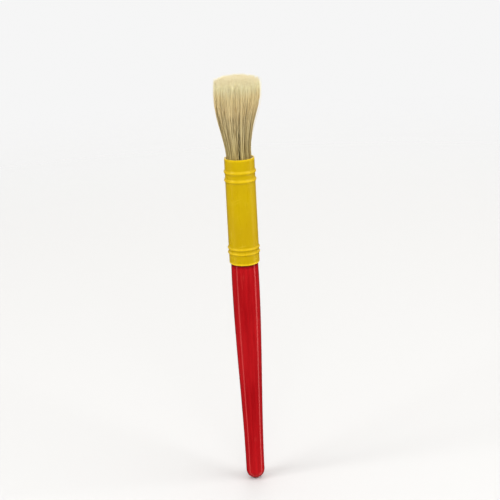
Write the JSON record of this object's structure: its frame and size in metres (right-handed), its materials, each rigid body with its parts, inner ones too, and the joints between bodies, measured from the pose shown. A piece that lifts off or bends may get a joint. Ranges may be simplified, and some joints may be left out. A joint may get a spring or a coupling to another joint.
{
  "type": "round hog bristle paint brush",
  "caption": "Round paint brush with a chubby tapered handle, a long ribbed ferrule and a full tuft of bristle that flares to a domed crown.",
  "frame": {"origin": "lowest point of the round butt of the handle, on the brush's axis", "axes": "+Z along the brush's axis, from the butt to the bristles; the brush is round, so X and Y are any two directions square to it"},
  "size_m": [0.0212, 0.0212, 0.19],
  "materials": {
    "handle_lacquer": "gloss",
    "ferrule_plastic": "satin",
    "setting_resin": "satin",
    "hog_bristle": "matte"
  },
  "bodies": {
    "root": {"handle": "handle_lacquer", "ferrule": "ferrule_plastic", "resin_plug": "setting_resin", "bristle_lock_01": "hog_bristle", "bristle_lock_02": "hog_bristle", "bristle_lock_03": "hog_bristle", "bristle_lock_04": "hog_bristle", "bristle_lock_05": "hog_bristle", "bristle_lock_06": "hog_bristle", "bristle_lock_07": "hog_bristle", "bristle_lock_08": "hog_bristle", "bristle_lock_09": "hog_bristle", "bristle_lock_10": "hog_bristle", "bristle_lock_11": "hog_bristle", "bristle_lock_12": "hog_bristle", "bristle_lock_13": "hog_bristle", "bristle_lock_14": "hog_bristle", "bristle_lock_15": "hog_bristle", "bristle_lock_16": "hog_bristle", "bristle_lock_17": "hog_bristle", "bristle_lock_18": "hog_bristle", "bristle_lock_19": "hog_bristle", "bristle_lock_20": "hog_bristle", "bristle_lock_21": "hog_bristle", "bristle_lock_22": "hog_bristle", "bristle_lock_23": "hog_bristle", "bristle_lock_24": "hog_bristle", "bristle_lock_25": "hog_bristle", "bristle_lock_26": "hog_bristle", "bristle_lock_27": "hog_bristle", "bristle_lock_28": "hog_bristle", "bristle_lock_29": "hog_bristle", "bristle_lock_30": "hog_bristle", "bristle_lock_31": "hog_bristle", "bristle_lock_32": "hog_bristle", "bristle_lock_33": "hog_bristle", "bristle_lock_34": "hog_bristle", "bristle_lock_35": "hog_bristle", "bristle_lock_36": "hog_bristle", "bristle_lock_37": "hog_bristle"}
  },
  "joints": []
}
